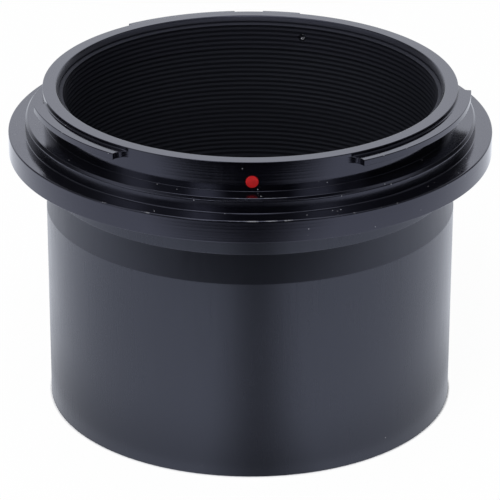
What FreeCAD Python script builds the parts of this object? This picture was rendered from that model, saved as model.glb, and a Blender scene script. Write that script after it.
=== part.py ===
import FreeCAD, Part
import math
import os

# Telescope camera adapter: a bayonet ring that locks into a camera's lens mount, screwed
# onto a nosepiece barrel that slides into a telescope's eyepiece holder.
# Millimetres. The origin is the centre of the barrel's open end, +Z runs up the optical
# axis to the camera side, and the index dot faces -Y.

# Nosepiece barrel, from its open end up to the ring's underside
barrelRadius = 25.4
barrelWall = 2.3
barrelHeight = 25.65
barrelEndChamfer = 0.1
undercutHeight = 3.8
undercutDepth = 0.45
neckHeight = 3.55

# Filter thread in the barrel's open end, as a plain wall at the thread's inner radius
filterThreadWall = 1.8
filterThreadHeight = 4.5
filterThreadLeadIn = 0.4

# V-shaped glare grooves along the bore
grooveDepth = 0.45
groovePitch = 0.635

# Threaded spigot of the barrel, inside the ring
spigotWall = 0.95
spigotHeight = 4.2
spigotClearance = 0.04
spigotEndGap = 0.1
spigotEndChamfer = 0.2

# Shallow recess in the flange's underside that centres the neck
seatDepth = 0.15
seatClearance = 0.03

# Bayonet ring: flange, collar and rim
flangeStep = 2.12
flangeHeight = 2.8
ledgeWidth = 1.94
collarHeight = 1.85
collarBevelWidth = 0.28
collarBevelHeight = 0.45
rimWall = 2.01
rimHeight = 3.66
rimLandWidth = 1.6
rimLeadChamfer = 0.5
ringEdgeChamfer = 0.12

# Bayonet lugs. Angles are in degrees, counted from the index dot, anticlockwise
# seen from the camera side.
lugReach = 1.59
lugHeight = 0.82
lugDrop = 0.42
lugEndFillet = 1.3
lugEndFilletLimitShare = 0.9
lugSpans = [(28.8, 86.8), (165.7, 215.0), (284.5, 323.2)]
keySlotAngle = 180.0
keySlotWidth = 3.5

# Index dot in the rim's wall
dotRadius = 0.8
dotThickness = 0.5
dotProud = 0.05
dotClearance = 0.01

# Stop pin through the rim's wall, beside the rear lug
pinRadius = 0.5
pinAngle = 162.7
pinProud = 1.2
pinRecess = 0.35
pinClearance = 0.01
pinEndChamfer = 0.12

# Cuts run past the faces that they open by this much
overrun = 1.0

upAxis = FreeCAD.Vector(0, 0, 1)
centre = FreeCAD.Vector(0, 0, 0)

grooveCrestRadius = barrelRadius - barrelWall
grooveRootRadius = grooveCrestRadius + grooveDepth
filterThreadRadius = barrelRadius - filterThreadWall
spigotRadius = grooveRootRadius + spigotWall
rimRadius = grooveRootRadius + rimWall
lugRadius = rimRadius + lugReach
ledgeRadius = rimRadius + ledgeWidth
collarRadius = ledgeRadius + collarBevelWidth
flangeRadius = collarRadius + flangeStep

neckBottom = barrelHeight + undercutHeight
flangeBottom = neckBottom + neckHeight
seatTop = flangeBottom + seatDepth
seatRadius = barrelRadius + seatClearance
flangeTop = flangeBottom + flangeHeight
ledgeTop = flangeTop + collarHeight
rimTop = ledgeTop + rimHeight
lugTop = rimTop - lugDrop
lugBottom = lugTop - lugHeight
spigotTop = flangeBottom + spigotHeight
wallMiddle = (ledgeTop + lugBottom) / 2


def onRadius(radius, angle, height):
    """A point at an angle in degrees from the index dot."""
    turn = math.radians(angle)
    return FreeCAD.Vector(radius * math.sin(turn), -radius * math.cos(turn), height)


def arcAngle(length, radius):
    """Degrees that a length covers along a circle."""
    return math.degrees(length / radius)


def turned(points):
    """A closed solid turned about the axis from (radius, height) points."""
    corners = [FreeCAD.Vector(radius, 0, height) for radius, height in points]
    outline = Part.makePolygon(corners + corners[:1])
    return Part.Face(outline).revolve(centre, upAxis, 360)


def glareGrooves(bottom, top):
    """Points of V grooves that fill a stretch of bore, crest to crest."""
    count = max(1, round((top - bottom) / groovePitch))
    step = (top - bottom) / count
    points = [(grooveCrestRadius, bottom)]
    for number in range(count):
        start = bottom + number * step
        points.append((grooveRootRadius, start + step / 2))
        points.append((grooveCrestRadius, start + step))
    return points


def nosepieceBarrel():
    shoulder = filterThreadRadius - grooveCrestRadius
    inside = [
        (filterThreadRadius + filterThreadLeadIn, 0),
        (filterThreadRadius, filterThreadLeadIn),
        (filterThreadRadius, filterThreadHeight),
    ]
    inside += glareGrooves(filterThreadHeight + shoulder, spigotTop)
    outside = [
        (spigotRadius - spigotEndChamfer, spigotTop),
        (spigotRadius, spigotTop - spigotEndChamfer),
        (spigotRadius, seatTop),
        (barrelRadius, seatTop),
        (barrelRadius, neckBottom),
        (barrelRadius - undercutDepth, neckBottom),
        (barrelRadius, barrelHeight),
        (barrelRadius, barrelEndChamfer),
        (barrelRadius - barrelEndChamfer, 0),
    ]
    return turned(inside + outside)


def ringBody():
    socketRadius = spigotRadius + spigotClearance
    socketTop = spigotTop + spigotEndGap
    mouthRadius = rimRadius - rimLandWidth
    leadRadius = mouthRadius - rimLeadChamfer
    leadBottom = rimTop - rimLeadChamfer
    firstRoot = leadBottom - (grooveRootRadius - leadRadius)
    inside = [
        (seatRadius, flangeBottom),
        (seatRadius, seatTop),
        (socketRadius, seatTop),
        (socketRadius, socketTop),
    ]
    inside += glareGrooves(socketTop, firstRoot - groovePitch / 2)
    inside += [(grooveRootRadius, firstRoot), (leadRadius, leadBottom), (mouthRadius, rimTop)]
    edge = ringEdgeChamfer
    outside = [
        (rimRadius - edge, rimTop),
        (rimRadius, rimTop - edge),
        (rimRadius, ledgeTop),
        (ledgeRadius, ledgeTop),
        (collarRadius, ledgeTop - collarBevelHeight),
        (collarRadius, flangeTop),
        (flangeRadius - edge, flangeTop),
        (flangeRadius, flangeTop - edge),
        (flangeRadius, flangeBottom + edge),
        (flangeRadius - edge, flangeBottom),
    ]
    return turned(inside + outside)


def lug(start, end):
    """An arc of plate whose two ends run into the rim's wall in hollow fillets."""
    fillet = min(lugEndFillet, lugReach * lugEndFilletLimitShare)
    filletRadius = rimRadius + fillet
    bend = fillet * (1 - math.cos(math.radians(45)))
    rootRadius = rimRadius - fillet
    rootReach = arcAngle(fillet, rimRadius)
    bendReach = arcAngle(bend, rimRadius)
    first = start - rootReach
    last = end + rootReach

    def point(radius, angle):
        return onRadius(radius, angle, lugBottom)

    def line(one, two):
        return Part.LineSegment(one, two).toShape()

    def arc(one, middle, two):
        return Part.Arc(one, middle, two).toShape()

    middle = (start + end) / 2
    outline = Part.Wire([
        arc(point(lugRadius, start), point(lugRadius, middle), point(lugRadius, end)),
        line(point(lugRadius, end), point(filletRadius, end)),
        arc(point(filletRadius, end), point(rimRadius + bend, end + bendReach),
            point(rimRadius, last)),
        line(point(rimRadius, last), point(rootRadius, last)),
        arc(point(rootRadius, last), point(rootRadius, middle), point(rootRadius, first)),
        line(point(rootRadius, first), point(rimRadius, first)),
        arc(point(rimRadius, first), point(rimRadius + bend, start - bendReach),
            point(filletRadius, start)),
        line(point(filletRadius, start), point(lugRadius, start)),
    ])
    return Part.Face(outline).extrude(upAxis * lugHeight)


def keySlot():
    """The notch through the rear lug, cut back to the rim's wall."""
    reach = lugReach + overrun
    height = lugHeight + 2 * overrun
    bottom = lugBottom - overrun
    block = Part.makeBox(keySlotWidth, rimRadius + reach, height)
    block.translate(FreeCAD.Vector(-keySlotWidth / 2, -rimRadius - reach, bottom))
    block.rotate(centre, upAxis, keySlotAngle)
    wall = Part.makeCylinder(rimRadius, height, FreeCAD.Vector(0, 0, bottom))
    return block.cut(wall)


def radialRod(radius, inner, outer, angle):
    """A round rod along a radius of the ring, halfway between the ledge and the lugs."""
    rod = Part.makeCylinder(radius, outer - inner, FreeCAD.Vector(0, -inner, wallMiddle),
                            FreeCAD.Vector(0, -1, 0))
    rod.rotate(centre, upAxis, angle)
    return rod


dotOuter = rimRadius + dotProud
dotInner = dotOuter - dotThickness
pinOuter = rimRadius + pinProud
pinInner = grooveCrestRadius + pinRecess


def stopPin():
    rod = radialRod(pinRadius, pinInner, pinOuter, pinAngle)
    rims = [edge for edge in rod.Edges if edge.Closed]
    return rod.makeChamfer(pinEndChamfer, rims)


def bayonetRing():
    ring = ringBody()
    for start, end in lugSpans:
        ring = ring.fuse(lug(start, end))
    dotSeat = radialRod(dotRadius + dotClearance, dotInner, dotOuter + overrun, 0)
    pinHole = radialRod(pinRadius + pinClearance, pinInner - overrun, pinOuter + overrun, pinAngle)
    for cutter in (keySlot(), dotSeat, pinHole):
        ring = ring.cut(cutter)
    return ring.removeSplitter()


os.makedirs("parts", exist_ok=True)
parts = {
    "bayonet_ring": bayonetRing(),
    "nosepiece_barrel": nosepieceBarrel(),
    "index_dot": radialRod(dotRadius, dotInner, dotOuter, 0),
    "stop_pin": stopPin(),
}
for name, shape in parts.items():
    shape.exportStep("parts/" + name + ".step")
    box = shape.BoundBox
    print(name, "valid", shape.isValid(), "solids", len(shape.Solids),
          "volume %.1f" % shape.Volume, "z %.2f to %.2f" % (box.ZMin, box.ZMax))
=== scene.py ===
import math
import bmesh
import bpy
import numpy as np
from mathutils import Matrix, Vector


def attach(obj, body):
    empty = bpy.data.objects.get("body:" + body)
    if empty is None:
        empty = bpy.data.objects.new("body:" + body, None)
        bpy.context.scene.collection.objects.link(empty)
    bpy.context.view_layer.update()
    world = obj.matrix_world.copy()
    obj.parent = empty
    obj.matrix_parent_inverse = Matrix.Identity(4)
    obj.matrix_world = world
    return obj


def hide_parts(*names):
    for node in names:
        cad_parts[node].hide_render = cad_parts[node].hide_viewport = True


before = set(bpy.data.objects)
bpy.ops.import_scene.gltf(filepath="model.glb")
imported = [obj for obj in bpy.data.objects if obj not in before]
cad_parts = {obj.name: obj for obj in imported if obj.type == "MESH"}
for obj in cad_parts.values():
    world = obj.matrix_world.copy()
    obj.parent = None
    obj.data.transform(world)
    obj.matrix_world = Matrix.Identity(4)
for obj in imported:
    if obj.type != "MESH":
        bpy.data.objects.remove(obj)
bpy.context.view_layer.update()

print("adapter: frame loaded,", len(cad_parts), "nodes")

scene = bpy.context.scene
scene.view_settings.view_transform = "Standard"
mm = 0.001
mergeDistance = 0.001 * mm
sharpAngle = 38  # in degrees; an edge that turns more than this is shaded as a corner
white = (1, 1, 1, 1)


# Camera, fitted to the photograph's circles. Lengths in millimetres, angles in degrees.
photoCamera = {
    "azimuth": -0.5,
    "distance": 358.2,
    "height": 180.5,
    "downTilt": 24.315,
    "roll": 0.136,
    "focalPixels": 3116.9,
    "imagePixels": 500,
    "sensorWidth": 36.0,
    "clipStart": 10.0,
}


def makeCamera(look):
    data = bpy.data.cameras.new("photoCamera")
    data.sensor_fit = "HORIZONTAL"
    data.sensor_width = look["sensorWidth"]
    data.lens = look["focalPixels"] * look["sensorWidth"] / look["imagePixels"]
    data.clip_start = look["clipStart"] * mm
    camera = bpy.data.objects.new("photoCamera", data)
    scene.collection.objects.link(camera)
    tilt = Matrix.Rotation(math.radians(90 - look["downTilt"]), 4, "X")
    roll = Matrix.Rotation(math.radians(look["roll"]), 4, "Z")
    place = Matrix.Translation((0, -look["distance"] * mm, look["height"] * mm))
    around = Matrix.Rotation(math.radians(look["azimuth"]), 4, "Z")
    camera.matrix_world = around @ place @ tilt @ roll
    scene.camera = camera


makeCamera(photoCamera)
print("adapter: camera placed")


# Node helpers, for shaders and for geometry trees

def addNode(tree, kind, **settings):
    node = tree.nodes.new(kind)
    for name, value in settings.items():
        setattr(node, name, value)
    return node


def feed(tree, socket, value):
    # A socket is linked, anything else is set as the input's own value
    if isinstance(value, bpy.types.NodeSocket):
        tree.links.new(value, socket)
    else:
        socket.default_value = value


def calc(tree, operation, first, second=None, third=None):
    node = addNode(tree, "ShaderNodeMath", operation=operation)
    for socket, value in zip(node.inputs, (first, second, third)):
        if value is not None:
            feed(tree, socket, value)
    return node.outputs[0]


def times(tree, first, second):
    return calc(tree, "MULTIPLY", first, second)


def vectorMath(tree, operation, vector, other=None):
    node = addNode(tree, "ShaderNodeVectorMath", operation=operation)
    feed(tree, node.inputs[0], vector)
    if other is not None:
        feed(tree, node.inputs[1], other)
    isNumber = operation in ("LENGTH", "DISTANCE", "DOT_PRODUCT")
    return node.outputs["Value" if isNumber else "Vector"]


def splitVector(tree, vector):
    node = addNode(tree, "ShaderNodeSeparateXYZ")
    feed(tree, node.inputs[0], vector)
    return node.outputs


def joinVector(tree, **axes):
    node = addNode(tree, "ShaderNodeCombineXYZ")
    for name, value in axes.items():
        feed(tree, node.inputs[name.upper()], value)
    return node.outputs[0]


def newGeometryTree(name, inputs):
    tree = bpy.data.node_groups.new(name, "GeometryNodeTree")
    for label, kind in inputs:
        tree.interface.new_socket(label, in_out="INPUT", socket_type="NodeSocket" + kind)
    tree.interface.new_socket("Geometry", in_out="OUTPUT", socket_type="NodeSocketGeometry")
    return tree, addNode(tree, "NodeGroupInput").outputs


def sweptPosition(tree, radius, height, column, segments):
    # The place of a section's point, turned by its column's share of the full circle
    angle = calc(tree, "DIVIDE", times(tree, column, math.tau), segments)
    across = times(tree, radius, calc(tree, "SINE", angle))
    back = times(tree, radius, calc(tree, "COSINE", angle))
    return joinVector(tree, x=across, y=times(tree, back, -1.0), z=height)


def sweptGrid(tree, rows, segments):
    # A grid with one column more than there are segments, and each point's column and row.
    # Half an index is added, so that rounding never puts a point in the column before.
    grid = addNode(tree, "GeometryNodeMeshGrid")
    feed(tree, grid.inputs["Vertices X"], calc(tree, "ADD", segments, 1))
    feed(tree, grid.inputs["Vertices Y"], rows)
    index = addNode(tree, "GeometryNodeInputIndex").outputs[0]
    middle = calc(tree, "ADD", index, 0.5)
    column = calc(tree, "FLOOR", calc(tree, "DIVIDE", middle, rows))
    row = calc(tree, "SUBTRACT", index, times(tree, column, rows))
    return grid.outputs["Mesh"], column, row


def finishTree(tree, geometry, material):
    merged = addNode(tree, "GeometryNodeMergeByDistance")
    feed(tree, merged.inputs["Geometry"], geometry)
    merged.inputs["Distance"].default_value = mergeDistance
    realized = addNode(tree, "GeometryNodeRealizeInstances")
    feed(tree, realized.inputs[0], merged.outputs[0])
    coated = addNode(tree, "GeometryNodeSetMaterial")
    feed(tree, coated.inputs["Geometry"], realized.outputs[0])
    feed(tree, coated.inputs["Material"], material)
    feed(tree, addNode(tree, "NodeGroupOutput").inputs[0], coated.outputs[0])


# Turns a section, a row of points in the XZ plane, about the Z axis
def makeTurningTree():
    tree, given = newGeometryTree("turning", [
        ("Geometry", "Geometry"), ("Segments", "Int"), ("Material", "Material")])
    size = addNode(tree, "GeometryNodeAttributeDomainSize", component="MESH")
    feed(tree, size.inputs[0], given["Geometry"])
    grid, column, row = sweptGrid(tree, size.outputs["Point Count"], given["Segments"])
    sample = addNode(tree, "GeometryNodeSampleIndex", data_type="FLOAT_VECTOR", domain="POINT")
    feed(tree, sample.inputs["Geometry"], given["Geometry"])
    feed(tree, sample.inputs["Value"], addNode(tree, "GeometryNodeInputPosition").outputs[0])
    feed(tree, sample.inputs["Index"], row)
    apart = splitVector(tree, sample.outputs[0])
    place = sweptPosition(tree, apart["X"], apart["Z"], column, given["Segments"])
    turned = addNode(tree, "GeometryNodeSetPosition")
    feed(tree, turned.inputs["Geometry"], grid)
    feed(tree, turned.inputs["Position"], place)
    finishTree(tree, turned.outputs[0], given["Material"])
    return tree


# Repeats one turned groove up the bore: a flat crest, a flank, a narrow root and a flank
def makeGrooveTree():
    tree, given = newGeometryTree("grooveStack", [
        ("Geometry", "Geometry"), ("Crest Radius", "Float"), ("Root Radius", "Float"),
        ("Crest Land", "Float"), ("Root Low", "Float"), ("Root High", "Float"),
        ("Pitch", "Float"), ("Count", "Int"), ("Bottom", "Float"), ("Segments", "Int"),
        ("Material", "Material")])
    crest = given["Crest Radius"]
    root = given["Root Radius"]
    radii = [crest, crest, root, root, crest]
    heights = [0.0, given["Crest Land"], given["Root Low"], given["Root High"], given["Pitch"]]
    grid, column, row = sweptGrid(tree, len(radii), given["Segments"])

    def perRow(values):
        switch = addNode(tree, "GeometryNodeIndexSwitch", data_type="FLOAT")
        while len(switch.index_switch_items) < len(values):
            switch.index_switch_items.new()
        feed(tree, switch.inputs["Index"], row)
        for socket, value in zip(list(switch.inputs)[1:], values):
            feed(tree, socket, value)
        return switch.outputs[0]

    radius = perRow(radii)
    height = perRow(heights)
    groove = addNode(tree, "GeometryNodeSetPosition")
    feed(tree, groove.inputs["Geometry"], grid)
    feed(tree, groove.inputs["Position"],
         sweptPosition(tree, radius, height, column, given["Segments"]))
    line = addNode(tree, "GeometryNodeMeshLine", mode="OFFSET")
    feed(tree, line.inputs["Count"], given["Count"])
    feed(tree, line.inputs["Start Location"], joinVector(tree, z=given["Bottom"]))
    feed(tree, line.inputs["Offset"], joinVector(tree, z=given["Pitch"]))
    stack = addNode(tree, "GeometryNodeInstanceOnPoints")
    feed(tree, stack.inputs["Points"], line.outputs["Mesh"])
    feed(tree, stack.inputs["Instance"], groove.outputs[0])
    loose = addNode(tree, "GeometryNodeRealizeInstances")
    feed(tree, loose.inputs[0], stack.outputs[0])
    finishTree(tree, loose.outputs[0], given["Material"])
    return tree


turningTree = makeTurningTree()
grooveTree = makeGrooveTree()


# Runs a tree on a starting mesh and gives the result as a plain mesh
def grown(tree, start, values):
    holder = bpy.data.objects.new("holder", start)
    scene.collection.objects.link(holder)
    modifier = holder.modifiers.new("grow", "NODES")
    modifier.node_group = tree
    for item in tree.interface.items_tree:
        if item.in_out == "INPUT" and item.name in values:
            modifier[item.identifier] = values[item.name]
    graph = bpy.context.evaluated_depsgraph_get()
    mesh = bpy.data.meshes.new_from_object(holder.evaluated_get(graph), depsgraph=graph)
    holder.modifiers.remove(modifier)
    bpy.data.objects.remove(holder)
    bpy.data.meshes.remove(start)
    return mesh


# How corners are rounded. Limits are shares of the straight run beside a corner, lengths
# are in millimetres, and a run as short as shortestRun has no direction.
arcs = {"steps": 3, "roundingLimit": 0.4, "supportGap": 0.03, "supportLimit": 0.05,
        "shortestRun": 1e-9}


# Rounds the corners of a section. A corner is (radius, height, rounding): each becomes an
# arc between two support points that keep the faces beside it flat.
def roundedSection(corners):
    points = []
    for number, (radius, height, rounding) in enumerate(corners):
        here = np.array([radius, height], float)
        if number in (0, len(corners) - 1):
            points.append(here)
            continue
        before = np.array(corners[number - 1][:2], float) - here
        after = np.array(corners[number + 1][:2], float) - here
        lengths = [np.hypot(*before), np.hypot(*after)]
        ways = [way / max(length, arcs["shortestRun"])
                for way, length in zip((before, after), lengths)]
        cut = min(rounding, *[arcs["roundingLimit"] * length for length in lengths])
        gaps = [min(arcs["supportGap"], arcs["supportLimit"] * length) for length in lengths]
        points.append(here + ways[0] * (cut + gaps[0]))
        for step in range(arcs["steps"] + 1):
            share = step / arcs["steps"]
            points.append(here + ways[0] * cut * (1 - share) ** 2 + ways[1] * cut * share ** 2)
        points.append(here + ways[1] * (cut + gaps[1]))
    return points


def sectionMesh(points):
    mesh = bpy.data.meshes.new("section")
    edges = [(number, number + 1) for number in range(len(points) - 1)]
    mesh.from_pydata([(radius * mm, 0, height * mm) for radius, height in points], edges, [])
    return mesh


# One closed mesh from parts that touch along their rims, with its faces outward
def welded(name, parts, material):
    shell = bmesh.new()
    for part in parts:
        shell.from_mesh(part)
        bpy.data.meshes.remove(part)
    bmesh.ops.remove_doubles(shell, verts=shell.verts, dist=mergeDistance)
    bmesh.ops.dissolve_degenerate(shell, edges=shell.edges, dist=mergeDistance / 2)
    bmesh.ops.recalc_face_normals(shell, faces=shell.faces)
    openEdges = sum(1 for edge in shell.edges if len(edge.link_faces) != 2)
    mesh = bpy.data.meshes.new(name)
    shell.to_mesh(mesh)
    shell.free()
    mesh.materials.clear()
    mesh.materials.append(material)
    print("adapter:", name, len(mesh.polygons), "faces,", openEdges, "open edges")
    return mesh


# Where the edges have been handled most: its middle and half width in degrees from
# straight ahead, and how far the wear reaches round an edge, as a share of its rounding
handling = {"azimuth": 2, "spread": 9, "reach": 1.05}


# Marks what lies near a worn edge, an arc of a section, in the "wear" attribute. An edge is
# (radius, height, rounding, how worn it is away from where it has been handled most).
def markWear(mesh, edges):
    places = np.empty(len(mesh.vertices) * 3)
    mesh.vertices.foreach_get("co", places)
    places = places.reshape(-1, 3) / mm
    radius = np.hypot(places[:, 0], places[:, 1])
    wear = np.zeros(len(places))
    azimuth = np.degrees(np.arctan2(places[:, 0], -places[:, 1]))
    front = np.exp(-((azimuth - handling["azimuth"]) / handling["spread"]) ** 2)
    for edgeRadius, edgeHeight, rounding, elsewhere in edges:
        away = np.hypot(radius - edgeRadius, places[:, 2] - edgeHeight)
        near = away < rounding * handling["reach"]
        wear[near] = elsewhere + (1 - elsewhere) * front[near]
    layer = mesh.attributes.new("wear", "FLOAT", "POINT")
    layer.data.foreach_set("value", wear.astype(np.float32))


def placePiece(name, mesh, slot, *nodes):
    mesh.polygons.foreach_set("use_smooth", [True] * len(mesh.polygons))
    mesh.set_sharp_from_angle(angle=math.radians(sharpAngle))
    piece = bpy.data.objects.new(name, mesh)
    scene.collection.objects.link(piece)
    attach(piece, "root")
    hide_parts(*nodes)


# Materials

def emptyTree(owner):
    owner.use_nodes = True
    owner.node_tree.nodes.clear()
    return owner.node_tree


def newMaterial(name):
    material = bpy.data.materials.new(name)
    tree = emptyTree(material)
    shader = addNode(tree, "ShaderNodeBsdfPrincipled")
    output = addNode(tree, "ShaderNodeOutputMaterial")
    tree.links.new(shader.outputs[0], output.inputs["Surface"])
    return material, tree, shader


def noise(tree, coordinate, scale, detail=2.0, roughness=0.5, dimensions="3D"):
    node = addNode(tree, "ShaderNodeTexNoise", noise_dimensions=dimensions)
    feed(tree, node.inputs["W" if dimensions == "1D" else "Vector"], coordinate)
    node.inputs["Scale"].default_value = scale
    node.inputs["Detail"].default_value = detail
    node.inputs["Roughness"].default_value = roughness
    return node.outputs[0]


# A smooth step. Where low is more than high, the result falls as the value grows.
def ramp(tree, value, low, high, outLow=0.0, outHigh=1.0):
    node = addNode(tree, "ShaderNodeMapRange", interpolation_type="SMOOTHSTEP")
    feed(tree, node.inputs["Value"], value)
    for name, number in (("From Min", low), ("From Max", high), ("To Min", outLow),
                         ("To Max", outHigh)):
        node.inputs[name].default_value = number
    return node.outputs[0]


# The same over a length, with its limits in millimetres
def rampAlong(tree, value, low, high, outLow=0.0, outHigh=1.0):
    return ramp(tree, value, low * mm, high * mm, outLow, outHigh)


def blend(tree, share, first, second):
    # Inputs 6 and 7 and output 2 are the Mix node's colours
    node = addNode(tree, "ShaderNodeMix", data_type="RGBA")
    feed(tree, node.inputs["Factor"], share)
    feed(tree, node.inputs[6], first)
    feed(tree, node.inputs[7], second)
    return node.outputs[2]


# A relief of the given depth in millimetres
def bumped(tree, height, depth):
    bump = addNode(tree, "ShaderNodeBump")
    bump.inputs["Distance"].default_value = depth * mm
    feed(tree, bump.inputs["Height"], height)
    return bump.outputs[0]


# What both anodised finishes share. Scales are per metre, heights and radii in
# millimetres. A pair holds the values between which something sets in, and two more
# numbers what comes out below and above them.
anodising = {
    "lineDetail": 3,
    "smudgeScale": 90,
    "smudges": (0.42, 0.72),
    "grainScale": 5200,
    "grainShare": 0.4,  # of the turning lines' relief
    "chipScale": 640,
    "chipGain": 0.3,
    "chips": (0.3, 0.38),  # above a look's wearAmount
    "level": (0.8, 0.96),  # how far a surface's normal points up
    "belowRim": (38.5, 38.0),
    "clusterSides": (17, 22),  # dust gathers at the sides, not in the middle
    "bore": (24.1, 23.5),
    "streakScale": 5200,
    "streaks": (0.3, 0.7, 0.55, 1),
    "patchScale": 260,
    "patches": (0.3, 0.7, 0.35, 1),
    "drawnScale": 2200,
    "drawnStretch": (1, 1, 0.06),
    "undercutBottom": (25.65, 25.7),
    "undercutTop": (29.48, 29.43),
    "collarInside": (27.6, 27.73),
    "collarOutside": (28.0, 27.85),
    "collarFoot": (35.8, 36.0),
    "hazeRoughness": 0.06,
    "dustRoughness": 0.5,
    "bareRoughness": 0.15,
}
# Line and cell counts are per metre, depths in millimetres. A speck of dust is (azimuth in
# degrees, radius, height, size), its lengths in millimetres.
ringLook = {
    "colour": (0.0014, 0.0014, 0.0026, 1),
    "smudgeColour": (0.0018, 0.0018, 0.0028, 1),
    "sheen": (0.73, 0.75, 0.97, 1),
    "bareColour": (0.3, 0.3, 0.32, 1),
    "dustColour": (0.27, 0.27, 0.28, 1),
    "roughness": 0.09,
    "smudgeRoughness": 0.13,
    "boreColour": (0.003, 0.003, 0.004, 1),
    "boreRoughness": 0.7,
    "ior": 1.85,
    "turnedLines": 3200.0,
    "turnedDepth": 0.003,
    "dustAmount": 0.79,
    "dustSize": 0.052,
    "dustCells": 900.0,
    "clusterShare": 0.62,
    "wearAmount": 0.45,
    "bareShare": 0.6,
    "hazeColour": (0.0085, 0.0082, 0.0082, 1),
    "haze": 0.1,
    "undercutGain": 0.0,
    "collarGain": 0.12,
    "grainRoughness": 0.1,
    "shelfGain": 0.07,
    "specks": [(-59.7, 25.66, 40.8, 0.09), (36, 27.8, 37.25, 0.07), (30.3, 29.85, 35.8, 0.07),
               (1.5, 25.58, 37.9, 0.08), (2.2, 26.9, 37.66, 0.09), (-25.4, 25.8, 37.66, 0.07),
               (-19.4, 26.3, 37.66, 0.06), (51.6, 25.9, 37.66, 0.07), (22, 27.79, 37.17, 0.07),
               (19.2, 28.4, 35.79, 0.07), (21.2, 28.5, 35.79, 0.08), (20.2, 28.75, 35.79, 0.06),
               (12.7, 28.8, 35.78, 0.06), (-22.9, 29.2, 35.77, 0.07), (-6.5, 27.95, 35.8, 0.06)],
}
barrelLook = {
    "colour": (0.0014, 0.0014, 0.0026, 1),
    "smudgeColour": (0.003, 0.003, 0.0046, 1),
    "sheen": (0.71, 0.75, 0.93, 1),
    "bareColour": (0.3, 0.3, 0.32, 1),
    "dustColour": (0.3, 0.3, 0.31, 1),
    "roughness": 0.25,
    "smudgeRoughness": 0.28,
    "boreColour": (0.003, 0.003, 0.004, 1),
    "boreRoughness": 0.7,
    "ior": 1.85,
    "turnedLines": 2600.0,
    "turnedDepth": 0.0008,
    "dustAmount": 0.84,
    "dustSize": 0.036,
    "dustCells": 420.0,
    "clusterShare": 0.0,
    "wearAmount": 0.66,
    "bareShare": 0.8,
    "hazeColour": (0.008, 0.008, 0.009, 1),
    "haze": 0.0,
    "undercutGain": 0.1,
    "collarGain": 0.0,
    "grainRoughness": 0.1,
    "shelfGain": 0.0,
    "specks": [],
}


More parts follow.
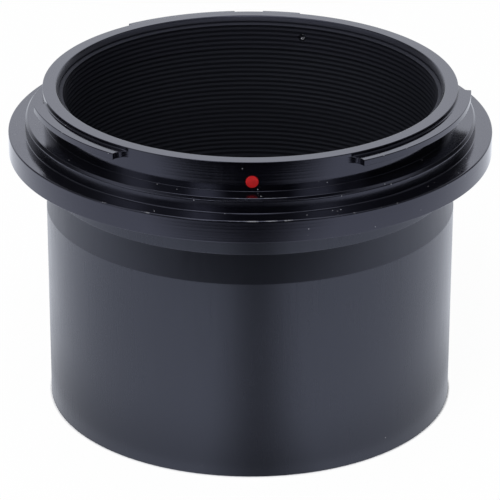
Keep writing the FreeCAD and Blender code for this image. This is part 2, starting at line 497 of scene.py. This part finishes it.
# Black anodised aluminium: fine turning lines, faint smudges, dust, and edges worn bright
def anodised(name, look):
    fixed = anodising
    material, tree, shader = newMaterial(name)
    place = addNode(tree, "ShaderNodeTexCoord").outputs["Object"]
    apart = splitVector(tree, place)
    height = apart["Z"]
    radius = vectorMath(tree, "LENGTH", vectorMath(tree, "MULTIPLY", place, (1, 1, 0)))
    lines = noise(tree, calc(tree, "ADD", radius, height), look["turnedLines"],
                  detail=fixed["lineDetail"], dimensions="1D")
    smudges = ramp(tree, noise(tree, place, fixed["smudgeScale"], detail=4, roughness=0.6),
                   *fixed["smudges"])
    grain = noise(tree, place, fixed["grainScale"], detail=1)

    # Bare metal, where the coat has chipped off the worn edges
    wear = addNode(tree, "ShaderNodeAttribute", attribute_name="wear").outputs["Fac"]
    chips = noise(tree, place, fixed["chipScale"], detail=5, roughness=0.7)
    broken = ramp(tree, calc(tree, "MULTIPLY_ADD", wear, fixed["chipGain"], chips),
                  *[look["wearAmount"] + limit for limit in fixed["chips"]])
    bare = times(tree, broken, look["bareShare"])

    # Dust: fine grains in a few of the cells, more of them on level ledges, and the specks
    cells = addNode(tree, "ShaderNodeTexVoronoi")
    feed(tree, cells.inputs["Vector"], place)
    cells.inputs["Scale"].default_value = look["dustCells"]
    chosen = addNode(tree, "ShaderNodeSeparateColor")
    feed(tree, chosen.inputs[0], cells.outputs["Color"])
    small = calc(tree, "LESS_THAN", cells.outputs["Distance"], look["dustSize"])
    facing = splitVector(tree, addNode(tree, "ShaderNodeNewGeometry").outputs["Normal"])
    shelf = times(tree, ramp(tree, facing["Z"], *fixed["level"]),
                  rampAlong(tree, height, *fixed["belowRim"]))
    sides = rampAlong(tree, calc(tree, "ABSOLUTE", apart["X"]), *fixed["clusterSides"])
    settled = times(tree, times(tree, shelf, sides), look["clusterShare"])
    dusty = calc(tree, "GREATER_THAN", calc(tree, "ADD", chosen.outputs[0], settled),
                 look["dustAmount"])
    dust = times(tree, small, dusty)
    for azimuth, speckRadius, speckHeight, size in look["specks"]:
        turn = math.radians(azimuth)
        speck = (speckRadius * mm * math.sin(turn), -speckRadius * mm * math.cos(turn),
                 speckHeight * mm)
        near = calc(tree, "LESS_THAN", vectorMath(tree, "DISTANCE", place, speck), size * mm)
        dust = calc(tree, "MAXIMUM", dust, near)
    inBore = rampAlong(tree, radius, *fixed["bore"])
    dust = times(tree, dust, calc(tree, "SUBTRACT", 1.0, inBore))

    # A thin haze on the level ledges, in turned streaks and loose patches
    streaks = noise(tree, radius, fixed["streakScale"], detail=2, dimensions="1D")
    patches = noise(tree, place, fixed["patchScale"], detail=4, roughness=0.6)
    hazy = times(tree, times(tree, shelf, look["haze"]),
                 times(tree, ramp(tree, streaks, *fixed["streaks"]),
                       ramp(tree, patches, *fixed["patches"])))

    colour = blend(tree, smudges, look["colour"], look["smudgeColour"])
    for share, layer in ((inBore, "boreColour"), (hazy, "hazeColour"), (bare, "bareColour"),
                         (dust, "dustColour")):
        colour = blend(tree, share, colour, look[layer])
    feed(tree, shader.inputs["Base Color"], colour)
    feed(tree, shader.inputs["Metallic"], bare)

    # Roughness: the grain is drawn out along the axis, and some places are duller
    rough = ramp(tree, smudges, 0, 1, look["roughness"], look["smudgeRoughness"])
    drawn = noise(tree, vectorMath(tree, "MULTIPLY", place, fixed["drawnStretch"]),
                  fixed["drawnScale"], detail=2)
    rough = calc(tree, "MULTIPLY_ADD", calc(tree, "SUBTRACT", drawn, 0.5), look["grainRoughness"],
                 rough)
    rough = calc(tree, "ADD", rough, times(tree, hazy, fixed["hazeRoughness"]))
    rough = calc(tree, "ADD", rough, times(tree, shelf, look["shelfGain"]))
    toBore = calc(tree, "SUBTRACT", look["boreRoughness"], rough)
    rough = calc(tree, "ADD", rough, times(tree, inBore, toBore))
    inUndercut = times(tree, rampAlong(tree, height, *fixed["undercutBottom"]),
                       rampAlong(tree, height, *fixed["undercutTop"]))
    onCollar = times(tree, rampAlong(tree, radius, *fixed["collarInside"]),
                     rampAlong(tree, radius, *fixed["collarOutside"]))
    onCollar = times(tree, onCollar, rampAlong(tree, height, *fixed["collarFoot"]))
    for share, gain in ((inUndercut, look["undercutGain"]), (onCollar, look["collarGain"]),
                        (dust, fixed["dustRoughness"]), (bare, fixed["bareRoughness"])):
        rough = calc(tree, "ADD", rough, times(tree, share, gain))
    feed(tree, shader.inputs["Roughness"], rough)
    shader.inputs["IOR"].default_value = look["ior"]
    shader.inputs["Specular Tint"].default_value = look["sheen"]

    relief = calc(tree, "ADD", lines, times(tree, grain, fixed["grainShare"]))
    feed(tree, shader.inputs["Normal"], bumped(tree, relief, look["turnedDepth"]))
    return material


ringBlack = anodised("ringAnodising", ringLook)
barrelBlack = anodised("barrelAnodising", barrelLook)

enamelLook = {
    "colour": (0.41, 0.0085, 0.01, 1),
    "stainColour": (0.33, 0.007, 0.0084, 1),
    "roughness": 0.35,
    "stainRoughness": 0.47,
    "stainScale": 1800,
    "stains": (0.35, 0.7),
    "grainScale": 2600,
    "grainDepth": 0.004,
    "metallic": 0,
    "specularLevel": 0.2,
}
steelLook = {
    "colour": (0.66, 0.66, 0.68, 1),
    "stainColour": (0.3, 0.3, 0.32, 1),
    "roughness": 0.22,
    "stainRoughness": 0.42,
    "stainScale": 2400,
    "stains": (0.45, 0.75),
    "grainScale": 4200,
    "grainDepth": 0.003,
    "metallic": 1,
    "specularLevel": 0.5,
}


# A finish with darker, duller stains and a fine grain
def stained(name, look):
    material, tree, shader = newMaterial(name)
    place = addNode(tree, "ShaderNodeTexCoord").outputs["Object"]
    stain = ramp(tree, noise(tree, place, look["stainScale"], detail=3), *look["stains"])
    colour = blend(tree, stain, look["colour"], look["stainColour"])
    feed(tree, shader.inputs["Base Color"], colour)
    feed(tree, shader.inputs["Roughness"],
         ramp(tree, stain, 0, 1, look["roughness"], look["stainRoughness"]))
    shader.inputs["Metallic"].default_value = look["metallic"]
    shader.inputs["Specular IOR Level"].default_value = look["specularLevel"]
    grain = noise(tree, place, look["grainScale"], detail=2)
    feed(tree, shader.inputs["Normal"], bumped(tree, grain, look["grainDepth"]))
    return material


redEnamel = stained("redEnamel", enamelLook)
pinSteel = stained("pinSteel", steelLook)
print("adapter: materials made")


# Nosepiece barrel. Lengths in millimetres; the groove's land and root are shares of its
# pitch, and edgeWear is how worn an edge is at the sides and behind.
barrel = {
    "segments": 320,
    "radius": 25.4,
    "height": 25.65,
    "endRounding": 0.03,
    "endInnerRounding": 0.04,
    "endOuterRounding": 0.1,
    "endWearWidth": 0.12,
    "undercutHeight": 3.8,
    "undercutDepth": 0.45,
    "neckHeight": 3.7,
    "filterThreadRadius": 23.6,
    "filterThreadDepth": 0.42,
    "filterThreadPitch": 0.75,
    "filterThreadCount": 5,
    "filterLeadIn": 0.4,
    "leadInRounding": 0.05,
    "shoulderHeight": 0.35,
    "shoulderRounding": 0.04,
    "grooveCrest": 23.1,
    "grooveDepth": 0.15,
    "groovePitch": 0.635,
    "grooveLandShare": 0.05,
    "rootLowShare": 0.4,
    "rootHighShare": 0.46,
    "grooveBottom": 4.775,
    "spigotRadius": 24.5,
    "spigotTop": 37.16,
    "spigotRounding": 0.1,
    "edgeRounding": 0.07,
    "innerRounding": 0.03,
    "edgeWear": 0.8,
}


def grooveStack(look, bottom, top, pitch, segments, material):
    # The stack fills the stretch exactly, so its pitch is the nearest that divides it
    count = max(1, round((top - bottom) / pitch))
    step = (top - bottom) / count
    return grown(grooveTree, bpy.data.meshes.new("start"), {
        "Crest Radius": look["grooveCrest"] * mm,
        "Root Radius": (look["grooveCrest"] + look["grooveDepth"]) * mm,
        "Crest Land": look["grooveLandShare"] * step * mm,
        "Root Low": look["rootLowShare"] * step * mm,
        "Root High": look["rootHighShare"] * step * mm,
        "Pitch": step * mm,
        "Count": count,
        "Bottom": bottom * mm,
        "Segments": segments,
        "Material": material,
    })


def makeBarrel(look):
    edge = look["edgeRounding"]
    inner = look["innerRounding"]
    neckBottom = look["height"] + look["undercutHeight"]
    neckTop = neckBottom + look["neckHeight"]
    threadRadius = look["filterThreadRadius"]
    threadTop = look["filterLeadIn"] + look["filterThreadPitch"] * look["filterThreadCount"]
    outside = [
        (threadRadius, look["filterLeadIn"], 0),
        (threadRadius + look["filterLeadIn"], 0, look["leadInRounding"]),
        (look["radius"] - look["endRounding"], 0, look["endInnerRounding"]),
        (look["radius"], look["endRounding"], look["endOuterRounding"]),
        (look["radius"], look["height"], edge),
        (look["radius"] - look["undercutDepth"], neckBottom, inner),
        (look["radius"], neckBottom, edge),
        (look["radius"], neckTop, inner),
        (look["spigotRadius"], neckTop, inner),
        (look["spigotRadius"], look["spigotTop"], look["spigotRounding"]),
        (look["grooveCrest"], look["spigotTop"], 0),
    ]
    shoulder = [
        (look["grooveCrest"], look["grooveBottom"], 0),
        (threadRadius, look["grooveBottom"] - look["shoulderHeight"], look["shoulderRounding"]),
        (threadRadius, threadTop, 0),
    ]
    skins = [roundedSection(outside), roundedSection(shoulder)]
    parts = [grown(turningTree, sectionMesh(points),
                   {"Segments": look["segments"], "Material": barrelBlack}) for points in skins]
    thread = dict(look, grooveCrest=threadRadius, grooveDepth=look["filterThreadDepth"])
    parts.append(grooveStack(thread, look["filterLeadIn"], threadTop, look["filterThreadPitch"],
                             look["segments"], barrelBlack))
    parts.append(grooveStack(look, look["grooveBottom"], look["spigotTop"], look["groovePitch"],
                             look["segments"], barrelBlack))
    mesh = welded("nosepieceBarrel", parts, barrelBlack)
    markWear(mesh, [
        (look["radius"], look["height"], edge, look["edgeWear"]),
        (look["radius"], neckBottom, edge, look["edgeWear"]),
        (look["radius"], look["endRounding"], look["endWearWidth"], 1),
        (look["radius"] - look["endRounding"], 0, look["endWearWidth"] / 2, 1),
        (threadRadius + look["filterLeadIn"], 0, look["endWearWidth"] / 2, 1),
    ])
    placePiece("nosepieceBarrel", mesh, "barrel_anodising", "nosepiece_barrel")


makeBarrel(barrel)
print("adapter: barrel turned")


# Bayonet ring. Lengths in millimetres, angles in degrees from the index dot, anticlockwise
# from above. A hole is (radius, where it starts along the ring's radius, angle). The first
# evenPoints points of a section, up to the seat's corner, keep even columns, and over
# followWidth outwards from the socket the columns come to follow the lugs.
ring = {
    "segments": 600,
    "flangeRadius": 29.9,
    "flangeBottom": 33.0,
    "flangeTop": 35.8,
    "collarRadius": 27.78,
    "bevelWidth": 0.28,
    "bevelHeight": 0.38,
    "ledgeFall": 0.034,
    "flangeFall": 0.037,
    "ledgeTop": 37.65,
    "rimRadius": 25.56,
    "rimTop": 41.31,
    "mouthRadius": 23.96,
    "mouthRounding": 0.1,
    "leadRadius": 23.53,
    "leadBottom": 40.76,
    "undercutRadius": 23.55,
    "undercutBottom": 40.51,
    "firstCrestRadius": 23.2,
    "firstCrestTop": 40.41,
    "socketRadius": 24.54,
    "socketTop": 37.17,
    "seatRadius": 25.43,
    "seatTop": 33.15,
    "grooveCrest": 23.1,
    "grooveDepth": 0.15,
    "groovePitch": 0.635,
    "grooveLandShare": 0.05,
    "rootLowShare": 0.4,
    "rootHighShare": 0.46,
    "grooveTop": 40.345,
    "flangeRounding": 0.16,
    "bevelRounding": 0.08,
    "edgeRounding": 0.05,
    "rimRounding": 0.07,
    "lugRounding": 0.08,
    "lugFootRounding": 0.33,
    "cornerRounding": 0.05,
    "innerRounding": 0.03,
    "seatRounding": 0.02,
    "leadRounding": 0.04,
    "footRounding": 0.14,
    "rimFootRounding": 0.06,
    "lugReach": 1.59,
    "lugBottom": 40.07,
    "lugTop": 40.84,
    "lugFillet": 1.3,
    "lugSpans": [(28.8, 86.8), (165.7, 215.0), (284.5, 323.2)],
    "slotAngle": 180.0,
    "slotWidth": 3.5,
    "spanStep": 0.01,
    "evenPoints": 16,
    "followWidth": 0.9,
    "holes": [(0.81, 25.11, 0.0), (0.51, 22.0, 162.7)],
    "holeSegments": 48,
    "flangeWear": 0.45,
    "ledgeWear": 0.3,
    "lugWear": 0.5,
}
wallMiddle = (ring["ledgeTop"] + ring["lugBottom"]) / 2


# Lays what was turned about the Z axis along a radius of the ring, at an angle
def alongRadius(start, angle):
    return (Matrix.Rotation(math.radians(angle), 4, "Z")
            @ Matrix.Translation((0, -start * mm, wallMiddle * mm))
            @ Matrix.Rotation(math.radians(90), 4, "X"))


# Takes a round hole out of the ring, along a radius, halfway up its wall
def drilled(mesh, radius, inner, angle):
    outer = ring["flangeRadius"]
    section = sectionMesh([(0, 0), (radius, 0), (radius, outer - inner), (0, outer - inner)])
    cutter = grown(turningTree, section, {"Segments": ring["holeSegments"],
                                          "Material": ringBlack})
    cutter.transform(alongRadius(inner, angle))
    tool = bpy.data.objects.new("drill", welded("drill", [cutter], ringBlack))
    blank = bpy.data.objects.new("blank", mesh)
    for thing in (tool, blank):
        scene.collection.objects.link(thing)
    cut = blank.modifiers.new("drill", "BOOLEAN")
    cut.object = tool
    cut.operation = "DIFFERENCE"
    cut.solver = "EXACT"
    graph = bpy.context.evaluated_depsgraph_get()
    result = bpy.data.meshes.new_from_object(blank.evaluated_get(graph), depsgraph=graph)
    for thing in (tool, blank):
        bpy.data.objects.remove(thing)
    return result


def ringSection(look, reach):
    edge = look["edgeRounding"]
    inner = look["innerRounding"]
    outer = look["rimRadius"] + reach
    return roundedSection([
        (look["grooveCrest"], look["socketTop"], 0),
        (look["socketRadius"], look["socketTop"], inner),
        (look["socketRadius"], look["seatTop"], look["seatRounding"]),
        (look["seatRadius"], look["seatTop"], look["seatRounding"]),
        (look["seatRadius"], look["flangeBottom"], inner),
        (look["flangeRadius"], look["flangeBottom"], look["bevelRounding"]),
        (look["flangeRadius"], look["flangeTop"] - look["flangeFall"], look["flangeRounding"]),
        (look["collarRadius"], look["flangeTop"], look["footRounding"]),
        (look["collarRadius"], look["ledgeTop"] - look["bevelHeight"], look["bevelRounding"]),
        (look["collarRadius"] - look["bevelWidth"], look["ledgeTop"] - look["ledgeFall"], edge),
        (look["rimRadius"], look["ledgeTop"], look["rimFootRounding"]),
        (look["rimRadius"], look["lugBottom"], look["cornerRounding"]),
        (outer, look["lugBottom"], edge),
        (outer, look["lugTop"], look["lugRounding"]),
        (look["rimRadius"], look["lugTop"], look["lugFootRounding"]),
        (look["rimRadius"], look["rimTop"], look["rimRounding"]),
        (look["mouthRadius"], look["rimTop"], look["mouthRounding"]),
        (look["leadRadius"], look["leadBottom"], look["leadRounding"]),
        (look["undercutRadius"], look["undercutBottom"], inner),
        (look["firstCrestRadius"], look["firstCrestTop"], inner),
        (look["grooveCrest"], look["grooveTop"], 0),
    ])


def halfSlotAngle(look):
    return math.degrees(math.asin(look["slotWidth"] / 2 / look["rimRadius"]))


# How far the lugs stand out at an angle: the full reach, or less in the hollow fillets that
# run their ends into the wall
def lugReachAt(look, angle):
    fillet = look["lugFillet"]
    for start, end in look["lugSpans"]:
        if start <= angle <= end:
            inSlot = abs(angle - look["slotAngle"]) < halfSlotAngle(look)
            return 0.0 if inSlot else look["lugReach"]
        past = math.radians(max(start - angle, angle - end)) * look["rimRadius"]
        if past < fillet:
            return fillet - math.sqrt(fillet ** 2 - (fillet - past) ** 2)
    return 0.0


def makeRing(look):
    count = look["segments"]
    even = np.arange(count) * 360 / count
    angles = even.copy()
    halfSlot = halfSlotAngle(look)
    steps = [angle for span in look["lugSpans"] for angle in span]
    steps += [look["slotAngle"] - halfSlot, look["slotAngle"] + halfSlot]
    for angle in steps:
        # The two columns beside a step close up on it
        column = int(angle * count / 360)
        angles[column] = angle - look["spanStep"]
        angles[column + 1] = angle + look["spanStep"]
    sections = {}
    rows = []
    for angle in angles:
        reach = round(lugReachAt(look, angle), 4)
        if reach not in sections:
            sections[reach] = np.array(ringSection(look, reach))
        rows.append(sections[reach])
    grid = np.array(rows)
    pointCount = grid.shape[1]
    # Only the outside follows the lugs' uneven columns. The bore's columns stay even.
    follow = np.clip((grid[:, :, 0] - look["socketRadius"]) / look["followWidth"], 0, 1)
    follow[:, :look["evenPoints"]] = 0
    turn = np.radians(even[:, None] + follow * (angles - even)[:, None])
    places = np.stack([grid[:, :, 0] * np.sin(turn), -grid[:, :, 0] * np.cos(turn),
                       grid[:, :, 1]], axis=2) * mm
    faces = []
    for column in range(count):
        here = column * pointCount
        there = (column + 1) % count * pointCount
        for row in range(pointCount - 1):
            faces.append((here + row, there + row, there + row + 1, here + row + 1))
    skin = bpy.data.meshes.new("ringSkin")
    skin.from_pydata(places.reshape(-1, 3).tolist(), [], faces)
    grooves = grooveStack(look, look["socketTop"], look["grooveTop"], look["groovePitch"],
                          count, ringBlack)
    mesh = welded("ringBlank", [skin, grooves], ringBlack)
    for radius, inner, angle in look["holes"]:
        mesh = drilled(mesh, radius, inner, angle)
    mesh = welded("bayonetRing", [mesh], ringBlack)
    lugRadius = look["rimRadius"] + look["lugReach"]
    markWear(mesh, [
        (look["flangeRadius"], look["flangeTop"], look["flangeRounding"], look["flangeWear"]),
        (look["collarRadius"] - look["bevelWidth"], look["ledgeTop"], look["edgeRounding"],
         look["ledgeWear"]),
        (lugRadius, look["lugTop"], look["lugRounding"], look["lugWear"]),
    ])
    placePiece("bayonetRing", mesh, "ring_anodising", "bayonet_ring")


makeRing(ring)
print("adapter: ring turned")


# Turned about its own axis, then laid along a radius of the ring. Its outer end stands
# proud of the rim's wall, and its section runs inwards from there.
def radialPiece(name, corners, look, material):
    section = sectionMesh(roundedSection(corners))
    mesh = grown(turningTree, section, {"Segments": look["segments"], "Material": material})
    mesh.transform(alongRadius(ring["rimRadius"] + look["proud"], look["angle"]))
    return welded(name, [mesh], material)


# Index dot. The dome's shoulder is a share of the radius and of the dome's fall.
dot = {
    "radius": 0.75,
    "thickness": 0.5,
    "proud": 0.05,
    "angle": 0,
    "rounding": 0.04,
    "dome": 0.02,
    "domeShoulder": (0.5, 0.3),
    "domeRounding": 0.2,
    "segments": 64,
}


def makeDot(look):
    across, down = look["domeShoulder"]
    mesh = radialPiece("indexDot", [
        (0, 0, 0),
        (look["radius"] * across, -look["dome"] * down, look["domeRounding"]),
        (look["radius"], -look["dome"], look["rounding"]),
        (look["radius"], -look["thickness"], look["rounding"]),
        (0, -look["thickness"], 0),
    ], look, redEnamel)
    placePiece("indexDot", mesh, "red_enamel", "index_dot")


makeDot(dot)


# Stop pin. Its inner end has a dish, whose floor is a share of the dish's radius and depth.
pin = {
    "radius": 0.5,
    "proud": 1.2,
    "inner": 23.45,
    "angle": 162.7,
    "chamfer": 0.1,
    "chamferRounding": 0.04,
    "dishRadius": 0.28,
    "dishDepth": 0.16,
    "dishFloor": (0.45, 0.85),
    "dishEdgeRounding": 0.02,
    "dishFloorRounding": 0.1,
    "segments": 48,
}


def makePin(look):
    length = ring["rimRadius"] + look["proud"] - look["inner"]
    across, down = look["dishFloor"]
    mesh = radialPiece("stopPin", [
        (0, 0, 0),
        (look["radius"] - look["chamfer"], 0, look["chamferRounding"]),
        (look["radius"], -look["chamfer"], look["chamferRounding"]),
        (look["radius"], -length + look["chamfer"], look["chamferRounding"]),
        (look["radius"] - look["chamfer"], -length, look["dishEdgeRounding"]),
        (look["dishRadius"], -length, look["dishEdgeRounding"]),
        (look["dishRadius"] * across, -length + look["dishDepth"] * down,
         look["dishFloorRounding"]),
        (0, -length + look["dishDepth"], 0),
    ], look, pinSteel)
    placePiece("stopPin", mesh, "pin_steel", "stop_pin")


makePin(pin)
print("adapter: dot and pin set")


# Studio: a pale floor that mirrors see end a little in front of the object, and a world
# that is bright behind and above, with soft windows in front and overhead. Lengths in
# millimetres, angles in degrees, azimuths from straight ahead, anticlockwise from above.
# A pair holds the values between which something sets in. For the world, those are parts
# of a ray's direction: X to the right, Y away from the camera's side, Z up. A window is
# (azimuth, elevation, angle of its full light, angle where it ends, strength).
studio = {
    "floorSize": 4000.0,
    "floorDrop": 0.02,
    "floorColour": (0.85, 0.85, 0.86, 1),
    "lightColour": (0.975, 1.0, 1.05, 1),
    "glowColour": (0.965, 1.0, 1.08, 1),
    "glowInView": 0.965,
    "glowInMirrors": 0.88,
    # Painted shade in the glow that mirrors see of the floor: darker within some 44 mm of the
    # axis, less so right at the barrel's foot, and dark under the barrel
    "near": (27.0, 44.0),
    "nearShadeShare": 0.74,
    "contactGain": 1.2,
    "contactWidth": (26.8, 28.6),
    "contactShadow": (25.42, 25.7),
    "underBarrel": (25.2, 25.6),
    "glowBehind": 1.16,
    "behind": (60, 130),
    "far": (78.0, 116.0),
    "farShare": 0.82,
    "edge": (80.0, 121.0),
    "edgeTurn": 4.0,
    # Painted shade in the same glow: a darker dip straight ahead
    "dipDepth": 0.6,
    "dipAzimuth": 3.0,
    "dipWidth": 21.0,
    "backLow": 0.97,
    "backHigh": 1.24,
    "backAway": (0.58, 0.9),
    "backUp": (0.26, 0.335),
    "topLight": 1.05,
    "topUp": (0.81, 0.99),
    "topLeft": 1.6,
    "topRight": 0.85,
    "topAcross": (-0.5, 0.5),
    "topFront": 0.55,
    "topBehind": 1.25,
    "topAway": (-0.6, 0.3),
    "sideLight": 0.55,
    "sideAcross": (0.5, 0.85),
    "sideUp": (0.45, 0.62),
    "fillLight": 0.03,
    "windows": [(-25, 28, 0, 11, 2.45), (-66, 26, 0, 12.5, 1.1), (-57, 24, 5, 32, 0.35),
                (36, 28, 0, 14, 1.4), (48, 24, 3, 22, 0.22), (4, 69, 0, 11, 2.35)],
}


def stageObject(name, corners, faces, material):
    mesh = bpy.data.meshes.new(name)
    mesh.from_pydata([(x * mm, y * mm, z * mm) for x, y, z in corners], [], faces)
    mesh.materials.append(material)
    card = bpy.data.objects.new(name, mesh)
    scene.collection.objects.link(card)


def direction(azimuth, elevation):
    across, up = math.radians(azimuth), math.radians(elevation)
    return (math.cos(up) * math.sin(across), -math.cos(up) * math.cos(across), math.sin(up))


def makeFloor(look):
    material = bpy.data.materials.new("paleFloor")
    tree = emptyTree(material)
    plain = addNode(tree, "ShaderNodeBsdfDiffuse")
    plain.inputs["Color"].default_value = look["floorColour"]
    glow = addNode(tree, "ShaderNodeEmission")
    path = addNode(tree, "ShaderNodeLightPath").outputs
    direct = path["Is Camera Ray"]
    mirrored = calc(tree, "MAXIMUM", path["Is Glossy Ray"], path["Is Transmission Ray"])
    feed(tree, glow.inputs["Color"], blend(tree, direct, look["glowColour"], white))

    # What mirrors see of the floor, by distance from the axis and by azimuth
    place = addNode(tree, "ShaderNodeTexCoord").outputs["Object"]
    away = vectorMath(tree, "LENGTH", place)
    apart = splitVector(tree, place)
    ahead = times(tree, apart["Y"], -1.0)
    angle = calc(tree, "DEGREES", calc(tree, "ARCTAN2", apart["X"], ahead))
    past = vectorMath(tree, "DOT_PRODUCT", place, direction(-look["edgeTurn"], 0))
    offMiddle = calc(tree, "ABSOLUTE", calc(tree, "SUBTRACT", angle, look["dipAzimuth"]))
    level = ramp(tree, calc(tree, "ABSOLUTE", angle), *look["behind"], look["glowInMirrors"],
                 look["glowBehind"])
    # Painted shade: the glow that mirrors see is darkened near and under the barrel and in a dip
    # straight ahead
    for share in (
            rampAlong(tree, past, *look["edge"], 1, 0),
            rampAlong(tree, away, *look["far"], 1, look["farShare"]),
            rampAlong(tree, away, *look["near"], look["nearShadeShare"], 1),
            ramp(tree, offMiddle, 0, look["dipWidth"], 1 - look["dipDepth"], 1),
            rampAlong(tree, away, *look["underBarrel"]),
            rampAlong(tree, away, *look["contactWidth"], look["contactGain"], 1)):
        level = times(tree, level, share)

    # The camera sees it nearly white, with a thin contact shadow at the barrel's foot
    lit = rampAlong(tree, away, *look["contactShadow"], 0, look["glowInView"])
    shown = times(tree, direct, lit)
    feed(tree, glow.inputs["Strength"], calc(tree, "ADD", direct, times(tree, mirrored, level)))
    mix = addNode(tree, "ShaderNodeMixShader")
    feed(tree, mix.inputs[0], calc(tree, "ADD", mirrored, shown))
    feed(tree, mix.inputs[1], plain.outputs[0])
    feed(tree, mix.inputs[2], glow.outputs[0])
    feed(tree, addNode(tree, "ShaderNodeOutputMaterial").inputs["Surface"], mix.outputs[0])
    half = look["floorSize"] / 2
    corners = [(x, y, -look["floorDrop"])
               for x, y in ((-half, -half), (half, -half), (half, half), (-half, half))]
    stageObject("floor", corners, [(0, 1, 2, 3)], material)


def makeWorld(look):
    world = bpy.data.worlds.new("studio")
    scene.world = world
    tree = emptyTree(world)
    way = addNode(tree, "ShaderNodeTexCoord").outputs["Generated"]
    x, y, z = splitVector(tree, way)
    level = ramp(tree, z, *look["topUp"], look["fillLight"], look["topLight"])
    level = times(tree, level, ramp(tree, x, *look["topAcross"], look["topLeft"],
                                    look["topRight"]))
    level = times(tree, level, ramp(tree, y, *look["topAway"], look["topFront"],
                                    look["topBehind"]))
    side = ramp(tree, calc(tree, "ABSOLUTE", x), *look["sideAcross"], 0, look["sideLight"])
    level = calc(tree, "ADD", level, times(tree, side, ramp(tree, z, *look["sideUp"])))
    back = times(tree, ramp(tree, y, *look["backAway"]),
                 ramp(tree, z, *look["backUp"], look["backLow"], look["backHigh"]))
    level = calc(tree, "MAXIMUM", level, back)
    for azimuth, elevation, core, rim, strength in look["windows"]:
        facing = vectorMath(tree, "DOT_PRODUCT", way, direction(azimuth, elevation))
        window = ramp(tree, facing, math.cos(math.radians(rim)), math.cos(math.radians(core)),
                      0, strength)
        level = calc(tree, "ADD", level, window)
    lit = addNode(tree, "ShaderNodeBackground")
    lit.inputs["Color"].default_value = look["lightColour"]
    feed(tree, lit.inputs["Strength"], level)
    shown = addNode(tree, "ShaderNodeBackground")
    shown.inputs["Color"].default_value = white
    mix = addNode(tree, "ShaderNodeMixShader")
    feed(tree, mix.inputs[0], addNode(tree, "ShaderNodeLightPath").outputs["Is Camera Ray"])
    feed(tree, mix.inputs[1], lit.outputs[0])
    feed(tree, mix.inputs[2], shown.outputs[0])
    feed(tree, addNode(tree, "ShaderNodeOutputWorld").inputs["Surface"], mix.outputs[0])


# One soft lamp from the front, which mirrors don't see. Lengths in millimetres, watts.
keySoftbox = {"place": (-150, -500, 650), "target": (0, 0, 20), "width": 400, "height": 400,
              "power": 5.0}


def addLamp(name, look):
    data = bpy.data.lights.new(name, "AREA")
    data.shape = "RECTANGLE"
    data.size = look["width"] * mm
    data.size_y = look["height"] * mm
    data.energy = look["power"]
    lamp = bpy.data.objects.new(name, data)
    scene.collection.objects.link(lamp)
    lamp.location = Vector(look["place"]) * mm
    aim = Vector(look["target"]) - Vector(look["place"])
    lamp.rotation_euler = aim.to_track_quat("-Z", "Y").to_euler()
    lamp.visible_glossy = False


makeFloor(studio)
makeWorld(studio)
addLamp("keySoftbox", keySoftbox)
print("adapter: studio lit")
